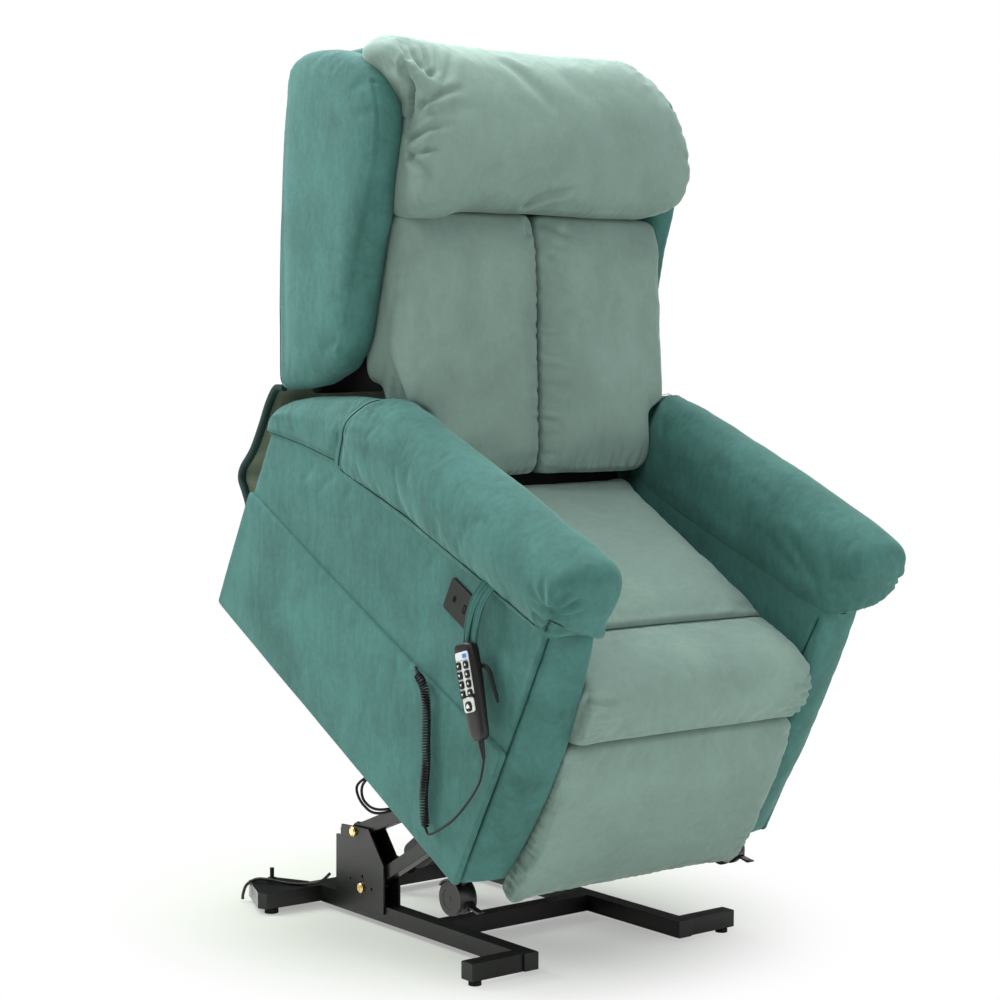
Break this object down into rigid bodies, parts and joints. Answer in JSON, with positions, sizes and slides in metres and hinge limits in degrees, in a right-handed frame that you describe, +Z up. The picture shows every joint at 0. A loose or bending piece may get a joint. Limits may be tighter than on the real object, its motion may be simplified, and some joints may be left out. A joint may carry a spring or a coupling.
{
  "type": "lift recliner chair",
  "caption": "Rise and recline armchair on a steel floor base, shown lifted and tilted forward, with wings, padded arms, leg rest and a wired handset.",
  "frame": {"origin": "floor level, under the middle of the raised chair's bounding box, on its left-right symmetry plane", "axes": "+X to the sitter's left, the chair faces -Y, +Z up"},
  "size_m": [0.776, 1.0872, 1.5678],
  "materials": {
    "black_steel": "satin black powder coat",
    "cap_plastic": "moulded",
    "foot_plastic": "matte",
    "pivot_brass": "satin",
    "cable_rubber": "satin",
    "motor_plastic": "fine grain",
    "bright_steel": "polished",
    "bright_links": "satin black",
    "plywood": "raw birch plywood",
    "frame_wood_steel": "raw beech, black steel plates",
    "sage_velvet": "short pile velvet",
    "teal_velvet": "short pile velvet",
    "dark_plastic": "fine grain",
    "handset_plastic": "fine grain",
    "key_plastic": "satin",
    "castor_plastic": "satin",
    "wheel_plastic": "satin"
  },
  "bodies": {
    "root": {"base_frame": "black_steel", "end_caps": "cap_plastic", "levelling_feet": "foot_plastic", "lift_towers": "black_steel", "tower_pins": "pivot_brass", "mains_cable": "cable_rubber"},
    "lift_arms": {"upper_links": "black_steel"},
    "lower_arms": {"lower_links": "black_steel"},
    "lift_motor_body": {"lift_motor": "motor_plastic"},
    "lift_rod_body": {"lift_rod": "bright_steel"},
    "chair": {"chair_frame": "black_steel", "seat_deck": "plywood", "seat_cushion": "sage_velvet", "arm_body_left": "teal_velvet", "arm_body_right": "teal_velvet", "arm_pad_left": "teal_velvet", "arm_pad_right": "teal_velvet", "side_panel_left": "teal_velvet", "side_panel_right": "teal_velvet", "rear_panel": "teal_velvet", "socket_plate": "dark_plastic", "handset_strap": "teal_velvet", "handset_body": "handset_plastic", "coil_cable": "cable_rubber", "control_box": "dark_plastic", "actuator_cables": "cable_rubber"},
    "key_1_body": {"key_1": "key_plastic"},
    "key_2_body": {"key_2": "key_plastic"},
    "key_3_body": {"key_3": "key_plastic"},
    "key_4_body": {"key_4": "key_plastic"},
    "key_5_body": {"key_5": "key_plastic"},
    "key_6_body": {"key_6": "key_plastic"},
    "key_7_body": {"key_7": "key_plastic"},
    "key_8_body": {"key_8": "key_plastic"},
    "key_9_body": {"key_9": "key_plastic"},
    "castor_left": {"castor_housing_left": "castor_plastic"},
    "castor_wheel_left": {"castor_wheels_left": "wheel_plastic"},
    "castor_tab_left": {"castor_brake_left": "castor_plastic"},
    "castor_right": {"castor_housing_right": "castor_plastic"},
    "castor_wheel_right": {"castor_wheels_right": "wheel_plastic"},
    "castor_tab_right": {"castor_brake_right": "castor_plastic"},
    "backrest": {"back_frame": "frame_wood_steel", "back_panel": "teal_velvet", "wing_left": "teal_velvet", "wing_right": "teal_velvet", "back_cushion_left": "sage_velvet", "back_cushion_right": "sage_velvet", "head_pillow": "sage_velvet", "rear_flap": "teal_velvet"},
    "recline_motor_body": {"recline_motor": "motor_plastic"},
    "recline_rod_body": {"recline_rod": "bright_steel"},
    "legrest_rear": {"legrest_rear_links": "bright_links"},
    "legrest_front": {"legrest_front_links": "bright_links"},
    "legrest_panel": {"legrest_board": "plywood", "legrest_cushion": "sage_velvet"},
    "legrest_motor_body": {"legrest_motor": "motor_plastic"},
    "legrest_rod_body": {"legrest_rod": "bright_steel"}
  },
  "joints": [
    {"name": "lift", "type": "hinge", "parent": "root", "child": "lift_arms", "pos_m": [0, 0.29016, 0.163], "axis": [1, 0, 0], "range_deg": [0, 28.57]},
    {"name": "chair_tilt", "type": "hinge", "parent": "lift_arms", "child": "chair", "pos_m": [0, -0.06212, 0.30533], "axis": [1, 0, 0], "range_deg": [-56.95, 0]},
    {"name": "lower_arms_tilt", "type": "hinge", "parent": "root", "child": "lower_arms", "pos_m": [0, 0.26516, 0.063], "axis": [1, 0, 0], "range_deg": [0, 28.6]},
    {"name": "lift_motor_tilt", "type": "hinge", "parent": "root", "child": "lift_motor_body", "pos_m": [0, 0.39016, 0.062], "axis": [1, 0, 0], "range_deg": [0, 8.55]},
    {"name": "lift_rod_slide", "type": "slide", "parent": "lift_motor_body", "child": "lift_rod_body", "axis": [0, -0.8399, 0.5427], "range_m": [-0.1155, 0]},
    {"name": "recline", "type": "hinge", "parent": "chair", "child": "backrest", "pos_m": [0, 0.15815, 0.774], "axis": [-1, 0, 0], "range_deg": [-7, 30]},
    {"name": "recline_motor_tilt", "type": "hinge", "parent": "chair", "child": "recline_motor_body", "pos_m": [0.09, -0.19504, 0.35864], "axis": [-1, 0, 0], "range_deg": [-1.45, 0.4]},
    {"name": "recline_rod_slide", "type": "slide", "parent": "recline_motor_body", "child": "recline_rod_body", "axis": [0, 0.8212, 0.5707], "range_m": [-0.0722, 0.0175]},
    {"name": "legrest", "type": "hinge", "parent": "chair", "child": "legrest_rear", "pos_m": [0, -0.29815, 0.40871], "axis": [-1, 0, 0], "range_deg": [0, 110]},
    {"name": "legrest_front_tilt", "type": "hinge", "parent": "legrest_rear", "child": "legrest_front", "pos_m": [0, -0.14624, 0.3324], "axis": [-1, 0, 0], "range_deg": [-126.8, 0]},
    {"name": "legrest_panel_tilt", "type": "hinge", "parent": "legrest_front", "child": "legrest_panel", "pos_m": [0, -0.28759, 0.34073], "axis": [-1, 0, 0], "range_deg": [0, 101.8]},
    {"name": "legrest_motor_tilt", "type": "hinge", "parent": "chair", "child": "legrest_motor_body", "pos_m": [-0.09, 0.16409, 0.55226], "axis": [-1, 0, 0], "range_deg": [0, 3.2]},
    {"name": "legrest_rod_slide", "type": "slide", "parent": "legrest_motor_body", "child": "legrest_rod_body", "axis": [0, -0.9161, -0.401], "range_m": [0, 0.1125]},
    {"name": "key_1_press", "type": "slide", "parent": "chair", "child": "key_1_body", "axis": [1, 0, 0], "range_m": [0, 0.0012]},
    {"name": "key_2_press", "type": "slide", "parent": "chair", "child": "key_2_body", "axis": [1, 0, 0], "range_m": [0, 0.0012]},
    {"name": "key_3_press", "type": "slide", "parent": "chair", "child": "key_3_body", "axis": [1, 0, 0], "range_m": [0, 0.0012]},
    {"name": "key_4_press", "type": "slide", "parent": "chair", "child": "key_4_body", "axis": [1, 0, 0], "range_m": [0, 0.0012]},
    {"name": "key_5_press", "type": "slide", "parent": "chair", "child": "key_5_body", "axis": [1, 0, 0], "range_m": [0, 0.0012]},
    {"name": "key_6_press", "type": "slide", "parent": "chair", "child": "key_6_body", "axis": [1, 0, 0], "range_m": [0, 0.0012]},
    {"name": "key_7_press", "type": "slide", "parent": "chair", "child": "key_7_body", "axis": [1, 0, 0], "range_m": [0, 0.0012]},
    {"name": "key_8_press", "type": "slide", "parent": "chair", "child": "key_8_body", "axis": [1, 0, 0], "range_m": [0, 0.0012]},
    {"name": "key_9_press", "type": "slide", "parent": "chair", "child": "key_9_body", "axis": [1, 0, 0], "range_m": [0, 0.0012]},
    {"name": "castor_swivel_left", "type": "hinge", "parent": "chair", "child": "castor_left", "pos_m": [0.305, -0.19793, 0.19122], "axis": [0, -0.4745, 0.8802], "continuous": true},
    {"name": "castor_roll_left", "type": "hinge", "parent": "castor_left", "child": "castor_wheel_left", "pos_m": [0.305, -0.1715, 0.14639], "axis": [1, 0, 0], "continuous": true},
    {"name": "castor_tab_tilt_left", "type": "hinge", "parent": "castor_left", "child": "castor_tab_left", "pos_m": [0.305, -0.20529, 0.13953], "axis": [1, 0, 0], "range_deg": [0, 14]},
    {"name": "castor_swivel_right", "type": "hinge", "parent": "chair", "child": "castor_right", "pos_m": [-0.305, -0.19793, 0.19122], "axis": [0, -0.4745, 0.8802], "continuous": true},
    {"name": "castor_roll_right", "type": "hinge", "parent": "castor_right", "child": "castor_wheel_right", "pos_m": [-0.305, -0.1715, 0.14639], "axis": [1, 0, 0], "continuous": true},
    {"name": "castor_tab_tilt_right", "type": "hinge", "parent": "castor_right", "child": "castor_tab_right", "pos_m": [-0.305, -0.20529, 0.13953], "axis": [1, 0, 0], "range_deg": [0, 14]}
  ],
  "couplings": [
    {"joint": "chair_tilt", "follows": "lift", "ratio": -1.9916},
    {"joint": "lower_arms_tilt", "follows": "lift", "ratio": 0.9993},
    {"joint": "lift_motor_tilt", "follows": "lift", "ratio": 0.29786},
    {"joint": "lift_rod_slide", "follows": "lift", "m_per_rad": -0.23083},
    {"joint": "recline_motor_tilt", "follows": "recline", "ratio": -0.0467},
    {"joint": "recline_rod_slide", "follows": "recline", "m_per_rad": -0.1366},
    {"joint": "legrest_front_tilt", "follows": "legrest", "ratio": -1.1518},
    {"joint": "legrest_panel_tilt", "follows": "legrest", "ratio": 0.92455},
    {"joint": "legrest_motor_tilt", "follows": "legrest", "ratio": 0.02881},
    {"joint": "legrest_rod_slide", "follows": "legrest", "m_per_rad": 0.05834}
  ]
}
